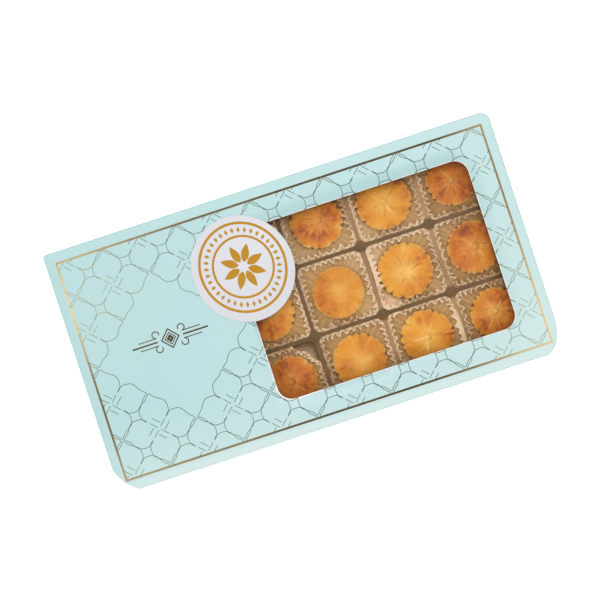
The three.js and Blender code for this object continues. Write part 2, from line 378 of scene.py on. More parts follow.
def cardOutline(inset, curveSteps=10, edgeStep=9 * mm):
    # Anticlockwise, with the same number of points at every inset
    half = np.array([lidHigh.x, lidHigh.y]) - inset
    steps = np.linspace(0, 1, curveSteps + 1)[:, None]
    curves = []
    for corner in cornerWear:
        alongX, alongY = corner["along"]
        shrink = 1 / alongX + 1 / alongY - math.hypot(1 / alongX, 1 / alongY)
        cut = np.array([alongX, alongY]) * max(0.3, 1 - inset * shrink)
        first, last, pull = (np.array(corner["sign"]) * (half - cut * share)
                             for share in ((1, 0), (0, 1), corner["pinch"]))
        if corner["yFirst"]:
            first, last = last, first
        curve = (1 - steps) ** 2 * first + 2 * steps * (1 - steps) * pull + steps ** 2 * last
        curves.append(curve.tolist())
    return closedLoop(curves, [round(2 * side / edgeStep) for side in (lidHigh.y, lidHigh.x) * 2])


def windowLoop(grow, cornerSteps, edgeSteps):
    # The window's outline, that far outside its edge
    length, width = (lidSize[key] + 2 * grow for key in ("windowLength", "windowWidth"))
    radius = max(lidSize["windowRadius"] + grow, 1 * mm)
    return roundedLoop(*lidSize["windowCentre"], length, width, radius, cornerSteps, edgeSteps)


def cornerDip(x, y):
    dip = 0.0
    for corner, share in ((cornerWear[0], 1.0), (cornerWear[3], 0.8), (cornerWear[1], 0.3)):
        signX, signY = corner["sign"]
        away = math.hypot(signX * lidHigh.x - x, signY * lidHigh.y - y)
        dip += share * max(0.0, 1 - away / lidSize["cornerReach"]) ** 2
    return dip * lidSize["cornerSink"]


def panelHeight(x, y):
    # The lid's upper face: nearly flat, with the slight unevenness of card
    wave = (smoothNoise(x, y, 0.3, 14) - 0.5) * lidSize["panelWave"]
    return lidHigh.z - 0.06 * mm + min(wave, 0.0) - cornerDip(x, y)


def buildLid():
    size = lidSize
    card, fold, soft, inner = size["card"], size["foldRadius"], size["edgeSoftness"], size["innerFold"]
    # over the fold, down the skirt, round its foot and up inside: inset, kind of height, its value, slot
    levels = [(fold * into, "panel", -fold * down, 0) for into, down in quarterRound(6)]
    levels += [(0.0, "wall", share, 0) for share in (0.25, 0.5, 0.75, 1.0)]
    levels += [(soft, "foot", 0.0, 1), (card - soft, "foot", 0.0, 1), (card, "wall", 1.0, 1)]
    levels += [(card, "wall", 0.5, 1), (card, "under", -inner, 1), (card + inner, "under", 0.0, 1)]
    skirt = []
    for inset, kind, value, _ in levels:
        for x, y in cardOutline(inset):
            top = panelHeight(x, y)
            z = {"panel": top + value, "foot": lidLow.z, "under": top - card + value}.get(kind)
            if kind == "wall":
                z = top - fold - value * (top - fold - lidLow.z - soft)
                shareX, shareY = abs(x) / lidHigh.x, abs(y) / lidHigh.y
                middle = max(0.0, 1 - shareX ** 2) * max(0.0, 1 - shareY ** 2)
                bow = size["skirtPull"] * value * (1 - max(shareX, shareY) + middle)
                x, y = x * (1 - bow / lidHigh.x), y * (1 - bow / lidHigh.y)
            skirt.append((x, y, z))
    count = len(skirt) // len(levels)
    window = windowLoop(0, 12, 14)
    least, extra = size["bevel"]
    *spot, reach = size["bevelWidest"]
    bevelled = []
    for (x, y), (wideX, wideY) in zip(window, windowLoop(mm, 12, 14)):
        share = (least + extra * math.exp(-(math.dist((x, y), spot) / reach) ** 2)) / mm
        bevelled.append((x + (wideX - x) * share, y + (wideY - y) * share))
    upper = fillPlane(cardOutline(fold), [bevelled], size["panelGrid"], panelHeight)
    inside = cardOutline(card + inner)
    lower = fillPlane(inside, [window], size["innerGrid"], lambda x, y: panelHeight(x, y) - card)
    cut = [(x, y, panelHeight(x, y)) for x, y in bevelled]
    cut += [(x, y, panelHeight(x, y) - drop) for drop in (size["bevelDrop"], card) for x, y in window]
    cutFaces = ringFaces(3, len(window))
    lower = (lower[0], [f[::-1] for f in lower[1]])
    points, faces = joinMeshes([(skirt, ringFaces(len(levels), count)), upper, lower, (cut, cutFaces)])
    slots = ringSlots([level[-1] for level in levels], count)
    slots += [0] * len(upper[1]) + [1] * (len(lower[1]) + len(cutFaces))
    lid = addPiece("lid", points, faces, [printedCard, bareBoard], slots)
    weld(lid)
    lid.data.set_sharp_from_angle(angle=math.radians(40))
    finishPiece(lid, "card_lid")


def buildBase():
    size = lidSize
    outside, top = lidHigh.x - baseHigh.x, baseHigh.z
    card, fold, soft = size["card"], size["baseFold"], size["edgeSoftness"]
    levels = [(fold * into, fold * down, 0) for into, down in quarterRound(5)]
    levels += [(0.0, top / 2, 0), (0.0, top - soft, 0), (soft, top, 1), (card - soft, top, 1)]
    levels += [(card, top - soft, 1), (card, card, 1)]
    points = [(x, y, z) for inset, z, _ in levels for x, y in cardOutline(outside + inset)]
    count = len(points) // len(levels)
    faces = ringFaces(len(levels), count) + [capFace(0, count, True), capFace(len(points) - count, count)]
    slots = ringSlots([level[-1] for level in levels], count) + [0, 1]
    base = addPiece("base", points, faces, [printedCard, bareBoard], slots)
    weld(base)
    finishPiece(base, "card_base")


buildLid()
buildBase()
print("carton made")

# Film

filmLook = {
    "plastic": (0.95, 0.97, 0.98),
    "haze": 0.010,
    "edge": 0.5,
    "scuffScale": 30.0,
    "scuffs": 0.006,
    "wave": 0.02 * mm,
    "thickness": 0.2 * mm,
    "glue": 0.03 * mm,
    "glued": 8 * mm,
    "cornerRadius": 4 * mm,
    "grid": 7 * mm,
    # the shade under the card's edge: distance into the window, strength
    "shade": ((-0.6 * mm, 0.6), (0.1 * mm, 0.5), (0.7 * mm, 0.13), (1.6 * mm, 0.07), (4 * mm, 0.06),
              (9 * mm, 0.0)),
    "shadeTone": (0.03, 0.015, 0.006),
    "shadeAlpha": 0.7,
}


def buildFilmMaterial():
    look = filmLook
    material, tree, shader = startMaterial("clearFilm", Roughness=0.06, IOR=1.5)
    turned = addNode(tree, "ShaderNodeLayerWeight", {"Blend": 0.35}).outputs["Facing"]
    seen = mapped(tree, times(tree, turned, turned), 0.0, 1.0, look["haze"], look["edge"])
    scuffs = times(tree, softPatches(tree, look["scuffScale"], 0.5, 0.85), look["scuffs"])
    shade = attribute(tree, "shade")
    alpha = plus(tree, plus(tree, scuffs, seen), times(tree, shade, look["shadeAlpha"]))
    fully = mapped(tree, shade, 0.0, 0.02)
    tree.links.new(alpha, shader.inputs["Alpha"])
    tree.links.new(mixColour(tree, fully, look["plastic"], look["shadeTone"]), shader.inputs["Base Color"])
    tree.links.new(mapped(tree, fully, 0, 1, 0.5, 0.0), shader.inputs["Specular IOR Level"])
    return material


def buildFilm():
    look = filmLook
    middle, half = (filmLow + filmHigh) / 2, (filmHigh - filmLow) / 2
    loop = roundedLoop(middle.x, middle.y, 2 * half.x, 2 * half.y, look["cornerRadius"], 4, 12)

    def upper(x, y):
        # Flat where it is glued under the lid, and slightly slack in the window
        roomX = max(0.0, 1 - abs(x - middle.x) / (half.x - look["glued"]))
        roomY = max(0.0, 1 - abs(y - middle.y) / (half.y - look["glued"]))
        slack = min(1.0, 4 * roomX) * min(1.0, 4 * roomY)
        sink = look["wave"] * (1 + smoothNoise(x, y, 2.0, 22)) * slack
        return panelHeight(x, y) - lidSize["card"] - look["glue"] - sink

    loops = [windowLoop(-into, 6, 12) for into, _ in look["shade"]]
    strengths = [strength for _, strength in look["shade"]]
    between = [(x, y, upper(x, y)) for inner in loops for x, y in inner]
    outer = fillPlane(loop, loops[:1], look["grid"], upper)
    centre = fillPlane(loops[-1], [], look["grid"], upper)
    shades = [strengths[0]] * len(outer[0]) + list(np.repeat(strengths, len(loops[0])))
    shades += [0.0] * len(centre[0])
    top = joinMeshes([outer, (between, ringFaces(len(loops), len(loops[0]))), centre])
    under = ([(x, y, z - look["thickness"]) for x, y, z in top[0]], [f[::-1] for f in top[1]])
    rim = [(x, y, upper(x, y)) for x, y in loop]
    rim += [(x, y, z - look["thickness"]) for x, y, z in rim]
    points, faces = joinMeshes([top, under, (rim, [f[::-1] for f in ringFaces(2, len(loop))])])
    shades += [0.0] * len(top[0]) + [1.0] * len(rim)
    film = addPiece("film", points, faces, [clearFilm], attributes={"shade": shades})
    weld(film)
    finishPiece(film, "window_film")


clearFilm = buildFilmMaterial()
buildFilm()
print("film made")

# Tray

trayLook = {
    "lipRadius": 0.3 * mm,
    "floorRadius": 2.2 * mm,
    "pocketRadius": 3.5 * mm,
    "pocketTop": 37.3 * mm,
    "pocketBottom": 36.2 * mm,
    "pocketFloor": 2.5 * mm,
    "ribWave": 0.25 * mm,
    "grid": 9 * mm,
    "colour": (0.118, 0.058, 0.013),
    "dusty": (0.165, 0.086, 0.026),
    "sheen": (0.47, 0.255, 0.115),  # of the ribs that catch the light
    "sheenShares": (0.12, 0.82, 1.0),  # how much each of them catches, from the left
    "sheenHalf": 1.6 * mm,
    "bareCorner": (-4 * mm, -24 * mm),  # the corner of a pocket that its paper case leaves bare
    "bareReach": 12 * mm,
    # painted light: the bare corner is painted pale, as if lit
    "bareCornerLight": (0.84, 0.60, 0.35),
}


def pocketCentres():
    centres = []
    for key in cookieKeys:
        low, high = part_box("paper_case_" + key)
        middle = (low + high) / 2
        centres.append((key, round(middle.x / mm) * mm, round(middle.y / mm) * mm))
    return centres


def buildTrayMaterial():
    look = trayLook
    material, tree, shader = startMaterial("formedBrownPlastic", IOR=1.46, Specular_IOR_Level=0.08)
    patches = softPatches(tree, 120.0, 0.42, 0.72)
    plain = mixColour(tree, patches, look["colour"], look["dusty"])
    streaks = softPatches(tree, 60.0, 0.2, 0.7, (0.1, 0.2, 0.0))
    catch = times(tree, attribute(tree, "lit"), mapped(tree, streaks, 0, 1, 0.6, 1))
    ribs = mixColour(tree, catch, plain, look["sheen"])
    # painted light on the bare corner of one pocket
    colour = mixColour(tree, attribute(tree, "bare"), ribs, look["bareCornerLight"])
    tree.links.new(mapped(tree, patches, 0, 1, 0.34, 0.55), shader.inputs["Roughness"])
    grainCoat(tree, shader, colour, 500.0, 0.10, 0.12, 0.0003)
    return material


def buildTray():
    look = trayLook
    top, floor = trayHigh.z, look["pocketFloor"]
    lip, foot, radius = look["lipRadius"], look["floorRadius"], look["pocketRadius"]

    def ribHeight(x, y):
        return top - (0.5 + smoothNoise(x, y, 4.0, 45)) * look["ribWave"]

    def ring(x, y, side, corner, z):
        loop = roundedLoop(x, y, side, side, corner, 7, 6)
        return [(px, py, ribHeight(px, py) + z - top if z > top - 3 * mm else z) for px, py in loop]

    parts, holes = [], []
    for _, x, y in pocketCentres():
        rings = [ring(x, y, look["pocketTop"] + 2 * lip * into, radius + lip * into, top - lip * down)
                 for into, down in quarterRound(5)]
        for into, down in quarterRound(5):
            side = look["pocketBottom"] - 2 * foot * down
            rings.append(ring(x, y, side, radius - 0.6 * foot * down, floor + foot * into))
        points, count = sum(rings, []), len(rings[0])
        faces = [f[::-1] for f in ringFaces(len(rings), count)]
        parts.append((points, faces + [capFace(len(points) - count, count, True)]))
        holes.append([p[:2] for p in rings[0]])
    edge = lidHigh.x - trayHigh.x
    parts.append(fillPlane(cardOutline(edge + lip), holes, look["grid"], ribHeight))
    sides = [(x, y, ribHeight(x, y) - lip * down)
             for into, down in quarterRound(5) for x, y in cardOutline(edge + lip * into)]
    bottom = [(x, y, trayLow.z) for x, y in cardOutline(edge)]
    count = len(bottom)
    parts.append((sides + bottom, ringFaces(7, count) + [capFace(len(sides), count, True)]))
    points, faces = joinMeshes(parts)
    columns = sorted({x for _, x, y in pocketCentres()})
    between = list(zip([(a + b) / 2 for a, b in zip(columns, columns[1:])], look["sheenShares"]))
    lit, bare = [], []
    for x, y, z in points:
        apart, share = min((abs(x - middle), share) for middle, share in between)
        lit.append(share * max(0.0, 1 - (apart / look["sheenHalf"]) ** 4) if z > top - 1.5 * mm else 0.0)
        near = math.dist((x, y), look["bareCorner"]) < look["bareReach"] and z < top - 0.5 * mm
        bare.append(1.0 if near and x < 0 and y < -20 * mm else 0.0)
    tray = addPiece("pocket_tray", points, faces, [brownPlastic], None, 50, {"lit": lit, "bare": bare})
    weld(tray)
    finishPiece(tray, "tray")


brownPlastic = buildTrayMaterial()
buildTray()
print("tray made")

# Paper cases

caseLook = {
    "flutesPerSide": 9,
    "pointsPerFlute": 10,
    "paper": 0.16 * mm,
    # side, corner radius and flute depth at the foot, low on the wall, at the shoulder beside the cookie,
    # at the waist, over the tray's edge and at the rim, which leans back in
    "levelsAt": (0.0, 0.55, 0.78, 0.90, 0.968, 1.0),
    "sides": (30.6 * mm, 31.0 * mm, 31.4 * mm, 37.0 * mm, 37.9 * mm, 36.3 * mm),
    "cornerRadii": (11.0 * mm, 14.0 * mm, 15.2 * mm, 6.5 * mm, 4.0 * mm, 4.0 * mm),
    "depths": (0.5 * mm, 0.5 * mm, 0.4 * mm, 0.7 * mm, 0.15 * mm, 2.6 * mm),
    "crumple": 0.45 * mm,
    "cookieRoom": 0.01 * mm,
    "hug": ((0.5, 0.72, 0.81, 0.88), (0.0, 1.0, 1.0, 0.0)),  # how closely the wall follows the cookie
    "wallLevels": 7,  # up to the shoulder
    "upperShares": (0.81, 0.85, 0.90, 0.935, 0.968, 0.985, 0.993, 1.0),
    "roomAt": (0, 0.45, 0.7, 0.81, 0.85, 0.9),
    "room": (0.90, 1.0, 0.99, 0.965, 0.965, 0.96),  # left there for the cookie, as shares of its radius
    "crumpleAt": (0.88, 0.968, 1.0),
    "crumpleShares": (1.0, 0.15, 0.7),
    "fadeAt": (0.82, 0.84, 0.95, 0.96),
    "innerFade": 0.8,  # how much of an oddity's fade shows below the rim
    "rimJitter": 0.45 * mm,
    "rimLine": 0.9 * mm,
    # the flutes' valleys are painted darker and their crests paler, as painted shade and light, inside and
    # outside
    "valley": (0.41, 0.230, 0.080),
    "crest": (0.52, 0.315, 0.125),
    # the tone of paper soaked with butter, and of painted shade
    "soakedAndShaded": (0.27, 0.130, 0.030),
    "outsideValley": (0.42, 0.265, 0.125),
    "outsideCrest": (0.66, 0.46, 0.26),
    "shadeSide": (225, 0.35),  # painted shade: where round the cookie the paper is darker, in degrees, and by how much
    "rimTone": (0.86, 0.66, 0.45),
    "faded": (0.80, 0.58, 0.37),
}
# How much of the cookie's butter each case has taken up
caseSoak = {
    "a1": 0.3, "b1": 0.02, "c1": 0.1, "d1": 0.35,
    "a2": 0.1, "b2": 0.08, "c2": 0.1, "d2": 0.3,
    "a3": 0.15, "b3": 0.25, "c3": 0.15, "d3": 0.3,
}
# Where a case differs from the rest. The kind comes first: lean pulls the rim in towards the middle near
# a spot, bulge pushes the fold below the rim out over the tray's rib, open bares a corner of the pocket, and
# the fourth kind only changes the tone. Then the spot as shares of half the side, the shift and the reach in
# mm, and how much paler the paper is there, or below zero how much darker, as more soaked paper and painted
# shade.
caseOddities = {
    "a2": [("tonePatch", (0.1, -1), 0, 13, -0.9)],
    "a3": [("open", (1, 1), 6.5, 13, 0), ("tonePatch", (1, -0.1), 0, 10, -0.7), ("tonePatch", (0, 1), 0, 10, -0.9)],
    "b1": [("tonePatch", (1, 0), 0, 13, -0.8), ("tonePatch", (-0.9, -1), 0, 11, 0.25),
           ("tonePatch", (0.9, -1), 0, 11, 0.12)],
    "b2": [("lean", (1, 0.9), 0.9, 9, 0.3), ("tonePatch", (1, -1), 0, 11, 0.2),
           ("tonePatch", (0, -1), 0, 12, -0.6), ("tonePatch", (-1, 0), 0, 16, -0.3)],
    "b3": [("lean", (-1, 0.2), 0.9, 16, -0.7)],
    "c1": [("lean", (-1, -0.9), 0.3, 10, 0.4), ("tonePatch", (-1, -0.2), 0, 12, 0.3),
           ("tonePatch", (0, -1), 0, 10, -0.5), ("tonePatch", (1, 0), 0, 15, -0.6)],
    "c2": [("lean", (-1, 0.3), 1.8, 17, 0.9), ("lean", (-0.9, -1), 0.6, 9, 0.9),
           ("tonePatch", (0.2, -1), 0, 11, -0.7), ("tonePatch", (1, 0), 0, 16, -0.6)],
    "c3": [("bulge", (1, -0.1), 1.3, 18, 0.9), ("tonePatch", (0, 1), 0, 11, -0.5)],
    "d1": [("tonePatch", (0.1, -1), 0, 11, -0.9)],
    "d2": [("lean", (-0.8, -1), 1.0, 12, -0.1), ("tonePatch", (0.2, -1), 0, 13, -1.0),
           ("tonePatch", (0.1, 1), 0, 14, -0.8)],
    "d3": [("lean", (-1, 0.0), 0.9, 12, -0.3), ("tonePatch", (0.1, 1), 0, 14, -0.7)],
}


def squareRoundPath(side, radius, perSide):
    # Points on a rounded square and their outward directions, starting at the middle of a corner
    straight, arc = side - 2 * radius, math.pi / 2 * radius
    spots, outwards = [], []
    for quarter in range(4):
        turn = quarter * math.pi / 2
        spin = np.array([[math.cos(turn), -math.sin(turn)], [math.sin(turn), math.cos(turn)]])
        for k in range(perSide):
            run = k / perSide * (straight + arc) - arc / 2
            angle = (run if run < 0 else max(run - straight, 0)) / radius
            out = np.array([math.cos(angle), math.sin(angle)])
            start = np.array([side / 2 - radius, -side / 2 + radius + min(max(run, 0), straight)])
            spots.append(spin @ (start + out * radius))
            outwards.append(spin @ out)
    return np.array(spots), np.array(outwards)


def buildPaperMaterial():
    look = caseLook
    material, tree, shader = startMaterial("flutedPaper", Roughness=0.75, Specular_IOR_Level=0.2)
    crest = attribute(tree, "crest")
    patches = softPatches(tree, 140.0, 0.40, 0.70)
    # the butter soak together with painted shade darkens the paper towards the soaked tone
    soakAndShade = times(tree, attribute(tree, "soakAndShade"), mapped(tree, patches, 0, 1, 0.65, 1.25))
    # painted shade and light: valleys darker, crests paler
    inside = mixColour(tree, soakAndShade, mixColour(tree, crest, look["valley"], look["crest"]), look["soakedAndShaded"])
    outer = mixColour(tree, crest, look["outsideValley"], look["outsideCrest"])
    outer = mixColour(tree, times(tree, soakAndShade, 1.25), outer, look["soakedAndShaded"])
    # painted highlights: pale patches along the creases of the outside band
    creases = softPatches(tree, 480.0, 0.48, 0.62, (0.1, 0.4, 0.0))
    outer = mixColour(tree, times(tree, creases, 0.4), outer, look["rimTone"])
    sides = mixColour(tree, attribute(tree, "outside"), inside, outer)
    rim = mixColour(tree, times(tree, soakAndShade, 0.6), look["rimTone"], look["soakedAndShaded"])
    edged = mixColour(tree, mapped(tree, attribute(tree, "edge"), 0.15, 0.5), sides, rim)
    colour = mixColour(tree, attribute(tree, "fade"), edged, look["faded"])
    grainCoat(tree, shader, colour, 1200.0, 0.12, 0.2, 0.0002)
    return material


def caseShift(kind, share):
    # How much of an oddity's shift there is at this share of the height
    if kind == "lean":
        return np.interp(share, (0.88, 0.968, 1), (0, 0.3, 1))
    if kind == "bulge":
        return np.clip((share - 0.95) / 0.018, 0, 1) * np.clip((1 - share) / 0.015, 0, 1)
    return np.clip((share - 0.1) / 0.5, 0, 1)


def buildCase(key, centreX, centreY):
    look = caseLook
    low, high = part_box("paper_case_" + key)
    cookieLow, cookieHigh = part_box("cookie_" + key)
    cookieMiddle = np.array(((cookieLow + cookieHigh) / 2)[:2])
    cookieReach = max((cookieHigh - cookieLow)[:2]) / 2
    draw = np.random.default_rng(sum(ord(c) * 31 ** i for i, c in enumerate(key)))
    flutes = 4 * look["flutesPerSide"]
    perSide = look["flutesPerSide"] * look["pointsPerFlute"]
    count = 4 * perSide
    phase = np.arange(count) / look["pointsPerFlute"] + 0.5
    phase += 0.22 * np.sin(2 * np.pi * (3 * phase / flutes + draw.random()))
    phase += 0.16 * np.sin(2 * np.pi * (7 * phase / flutes + draw.random()))
    depthShare = draw.uniform(0.5, 1.15, flutes)
    late = draw.uniform(-0.25, 0.25, flutes)
    flute = np.floor(phase).astype(int) % flutes
    # each flute is a rounded wave, a little early or late and of its own depth
    wave = 0.5 - 0.5 * np.cos(2 * np.pi * (phase + late[flute] * np.sin(np.pi * (phase % 1)) ** 2))
    depth = wave * depthShare[flute]
    rimLift = np.interp(np.arange(count) / count * 24, np.arange(24), draw.uniform(-1, 1, 24), period=24)
    centre = np.array([centreX, centreY])
    top, floor = high.z - 0.05 * mm, low.z + 0.02 * mm

    def ring(share, inward):
        z = floor + (top - floor) * share
        side, corner, fluteDepth = (
            np.interp(share, look["levelsAt"], look[name]) for name in ("sides", "cornerRadii", "depths"))
        spots, outs = squareRoundPath(side, corner, perSide)
        places = centre + spots
        fade = np.zeros(count)
        for kind, spot, shift, reach, paler in caseOddities.get(key, ()):
            away = places - centre - np.array(spot) * side / 2
            near = np.clip(1 - np.hypot(*away.T) / (reach * mm), 0, 1)
            near *= 2 - near
            inner = 0.0 if kind == "bulge" else look["innerFade"]
            fade += near * paler * np.interp(share, look["fadeAt"], (0, inner, inner, 1))
            inwards = (centre - places) / np.maximum(np.hypot(*(centre - places).T), 1e-9)[:, None]
            push = (near * shift * mm * caseShift(kind, share))[:, None]
            places = places + (outs if kind == "bulge" else inwards) * push
        flat = max(0.0, min(1.0, share / 0.12))
        crumple = np.array([smoothNoise(px, py, z, 240) - 0.3 for px, py in places]) * look["crumple"]
        soft = flat * np.interp(share, look["crumpleAt"], look["crumpleShares"])
        places = places - outs * (crumple * soft)[:, None]
        away = places - cookieMiddle
        distance = np.hypot(*away.T)
        room = cookieReach * np.interp(share, look["roomAt"], look["room"])
        room += look["cookieRoom"] + look["paper"]
        spare = np.full(count, 1.0)
        if share < 0.95:
            hug = np.interp(share, *look["hug"])
            wanted = np.maximum(1, room / distance) * (1 - hug) + room / distance * hug
            places = cookieMiddle + away * wanted[:, None]
            spare = np.maximum(distance - room, 0) * (1 - hug)
        # where the cookie is wide, it presses the flutes flat
        places = places - outs * (np.minimum(depth * fluteDepth * flat, spare) + inward)[:, None]
        lift = rimLift * look["rimJitter"] * share ** 3
        return np.column_stack([places, np.full(count, z) + np.minimum(lift, 0)]), np.minimum(fade, 1)

    paper = look["paper"]
    shares = np.append(np.linspace(0, look["levelsAt"][2], look["wallLevels"]), look["upperShares"])
    both = [(s, 0.0) for s in shares] + [(s, paper) for s in shares[::-1]]
    rings, fades = zip(*[ring(*level) for level in both])
    rings = [r + (0, 0, inward * (1 - s)) for r, (s, inward) in zip(rings, both)]
    rim = rings[len(shares) - 1]
    edges = [np.clip(1 - np.linalg.norm(r - rim, axis=1) / look["rimLine"], 0, 1) for r in rings]
    points = [(centreX, centreY, floor), *np.concatenate(rings), (centreX, centreY, floor + paper)]
    degrees, most = look["shadeSide"]
    fades = np.array([0.0, *np.concatenate(fades), 0.0])
    # painted shade: every case is darker on the same side, added to its butter soak
    soakAndShade = [most * max(0.0, math.cos(math.atan2(y - centreY, x - centreX) - math.radians(degrees)))
            for x, y, _ in points]
    attributes = {
        "soakAndShade": caseSoak[key] + np.array(soakAndShade) - np.minimum(fades, 0),
        "edge": [0.0, *np.concatenate(edges), 0.0],
        "fade": np.maximum(fades, 0),
        "crest": [0.5, *np.tile(1 - wave, len(rings)), 0.5],
        "outside": [1.0, *np.repeat([1.0, 0.0], len(shares) * count), 0.0],
    }
    case = addPiece("case_" + key, points, skinFaces(len(rings), count), [flutedPaper], None, 60, attributes)
    finishPiece(case, "paper_case_" + key)


flutedPaper = buildPaperMaterial()
for caseKey, pocketX, pocketY in pocketCentres():
    buildCase(caseKey, pocketX, pocketY)
print("paper cases made")

# Cookies

cookieLook = {
    "angleSteps": 288,
    "heightSteps": 72,
    "teeth": 24,
    "rays": 13,
    "cracks": 16,
    "facets": 15,
    "streaks": 70,
    "facetTone": 0.22,
    "heartReach": 5.0 * mm,
    "toothDepth": 1.2 * mm,
    "dimpleRing": 2.0 * mm,
    "wobble": 0.2 * mm,
    "crumb": 0.26 * mm,
    "crackHalf": 0.36 * mm,
    "crackStart": 3.6 * mm,
    "rayRoot": 0.3 * mm,  # half the width of a ray where it starts
    "golden": (0.76, 0.320, 0.027),
    "orange": (0.58, 0.160, 0.012),
    "pale": (0.90, 0.60, 0.17),
    "toast": (0.52, 0.135, 0.012),
    "brown": (0.27, 0.050, 0.006),
    # painted shade in the cracks, the ring in the middle and the notches between the teeth
    "creaseShade": (0.26, 0.085, 0.012),
}
# Each cookie: how strong the pale rays are, how pale the middle is, how deep are the short grooves between
# the rays, the rim's teeth and the ring in the middle, the crust's tan from golden at 0 to orange at 1, its
# turn in degrees, and where the pattern's middle is, in mm from the cookie's
cookieTraits = ("rays", "glow", "cracks", "teeth", "dimple", "tan", "turn", "heart")
cookieKinds = {
    "a1": (0.5, 0.3, 0.7, 1.0, 0.7, 0.4, 5, (0, 0)),
    "b1": (0.55, 0.35, 0.9, 1.0, 0.8, 0.6, 12, (1.6, 1.3)),
    "c1": (1.8, 1.0, 0.8, 0.9, 0.4, 0.1, 3, (-0.2, 0.6)),
    "d1": (0.5, 0.0, 0.7, 0.9, 0.9, 0.85, 9, (0, 0)),
    "a2": (0.6, 0.2, 0.6, 1.0, 0.3, 0.3, 14, (0, 1)),
    "b2": (0.35, 0.7, 0.25, 0.12, 0.0, 0.3, 7, (1.4, 0.8)),
    "c2": (1.3, 1.2, 0.6, 1.0, 0.0, 0.0, 0, (0, -1)),
    "d2": (0.7, 0.2, 0.5, 0.9, 1.0, 0.7, 16, (0.6, 0.3)),
    "a3": (0.4, 0.15, 0.5, 0.9, 1.2, 1.1, 11, (-1, -0.2)),
    "b3": (0.8, 1.0, 0.15, 0.7, 0.0, 0.2, 4, (1.6, -0.3)),
    "c3": (1.7, 0.8, 0.6, 0.9, 0.6, 0.1, 8, (0, -0.4)),
    "d3": (1.0, 0.6, 0.5, 1.0, 0.8, 0.55, 2, (-0.6, 1.6)),
}
# Browned spots: degrees, share of the radius, size, and strength, negative where the crust stayed pale
# Near the window's edges, on a3 and the cookies of column d, the tan and these browned spots are stronger,
# partly as painted shade
cookieToasts = {
    "a1": ((30, 0.6, 0.3, 0.8), (250, 0.6, 0.3, 0.8)),
    "b1": ((185, 0.55, 0.26, 0.9), (-8, 0.6, 0.22, 1.0), (28, 0.5, 0.3, 0.85), (225, 0.5, 0.28, 1.0),
           (260, 0.55, 0.2, 0.8), (300, 0.5, 0.25, 0.8), (-30, 0.92, 0.2, -0.7), (-75, 0.95, 0.2, -0.7),
           (235, 0.98, 0.22, -0.5)),
    "c1": ((155, 0.8, 0.32, 0.5), (38, 0.85, 0.26, 0.7), (-3, 0.85, 0.2, 0.5), (-43, 0.72, 0.16, 0.7),
           (-88, 0.9, 0.2, 0.6), (205, 0.75, 0.22, 0.3), (-120, 0.9, 0.2, -0.4), (180, 0.5, 0.2, -0.3)),
    "d1": ((170, 0.5, 0.32, 0.9), (220, 0.6, 0.3, 1.1), (300, 0.75, 0.4, 1.2), (60, 0.6, 0.3, 0.6),
           (10, 0.4, 0.3, 0.6)),
    "a2": ((225, 0.6, 0.3, 0.6), (200, 0.5, 0.3, 0.5), (275, 0.6, 0.28, 1.0), (320, 0.5, 0.25, 0.7),
           (-20, 0.9, 0.25, -0.3)),
    "b2": ((180, 0.75, 0.5, 0.55), (135, 0.75, 0.4, 0.5), (225, 0.75, 0.4, 0.4), (60, 0.6, 0.35, 0.15),
           (-15, 0.95, 0.2, -0.6), (-60, 0.95, 0.25, -0.6), (-100, 0.95, 0.2, -0.4)),
    "c2": ((24, 0.66, 0.26, 0.42), (-10, 0.82, 0.28, 0.42), (-50, 0.72, 0.26, 0.45), (-85, 0.65, 0.2, 0.2),
           (165, 0.5, 0.3, 0.12), (75, 0.8, 0.3, -0.35), (215, 0.85, 0.25, -0.35)),
    "d2": ((90, 0.75, 0.32, 1.1), (48, 0.7, 0.3, 1.0), (132, 0.7, 0.3, 1.0), (172, 0.75, 0.3, 0.8),
           (222, 0.56, 0.28, 0.7), (250, 0.92, 0.2, -0.5), (-40, 0.85, 0.25, 0.8)),
    "a3": ((100, 0.68, 0.28, 1.2), (150, 0.5, 0.3, 0.8), (50, 0.45, 0.3, 1.0), (0, 0.68, 0.3, 1.0),
           (-42, 0.5, 0.3, 0.9), (215, 0.6, 0.35, 0.5), (40, 0.88, 0.25, -0.5), (180, 0.5, 0.25, -0.4)),
    "b3": ((35, 0.65, 0.35, 0.45), (183, 0.55, 0.3, 0.55), (330, 0.7, 0.3, 0.4), (255, 0.8, 0.3, 0.3),
           (200, 0.95, 0.2, -0.4)),
    "c3": ((155, 0.62, 0.3, 0.3), (100, 0.66, 0.14, 0.8), (60, 0.65, 0.28, 0.4), (-18, 0.78, 0.24, 0.8),
           (205, 0.75, 0.3, 0.3), (250, 0.9, 0.3, 0.6), (128, 0.85, 0.25, -0.6)),
    "d3": ((85, 0.6, 0.28, 0.9), (50, 0.65, 0.3, 1.0), (200, 0.62, 0.32, 0.9), (-8, 0.5, 0.3, 0.7),
           (-90, 0.6, 0.35, 1.0), (-50, 0.5, 0.25, 0.6), (170, 0.95, 0.25, -0.6), (120, 0.95, 0.2, -0.5)),
}


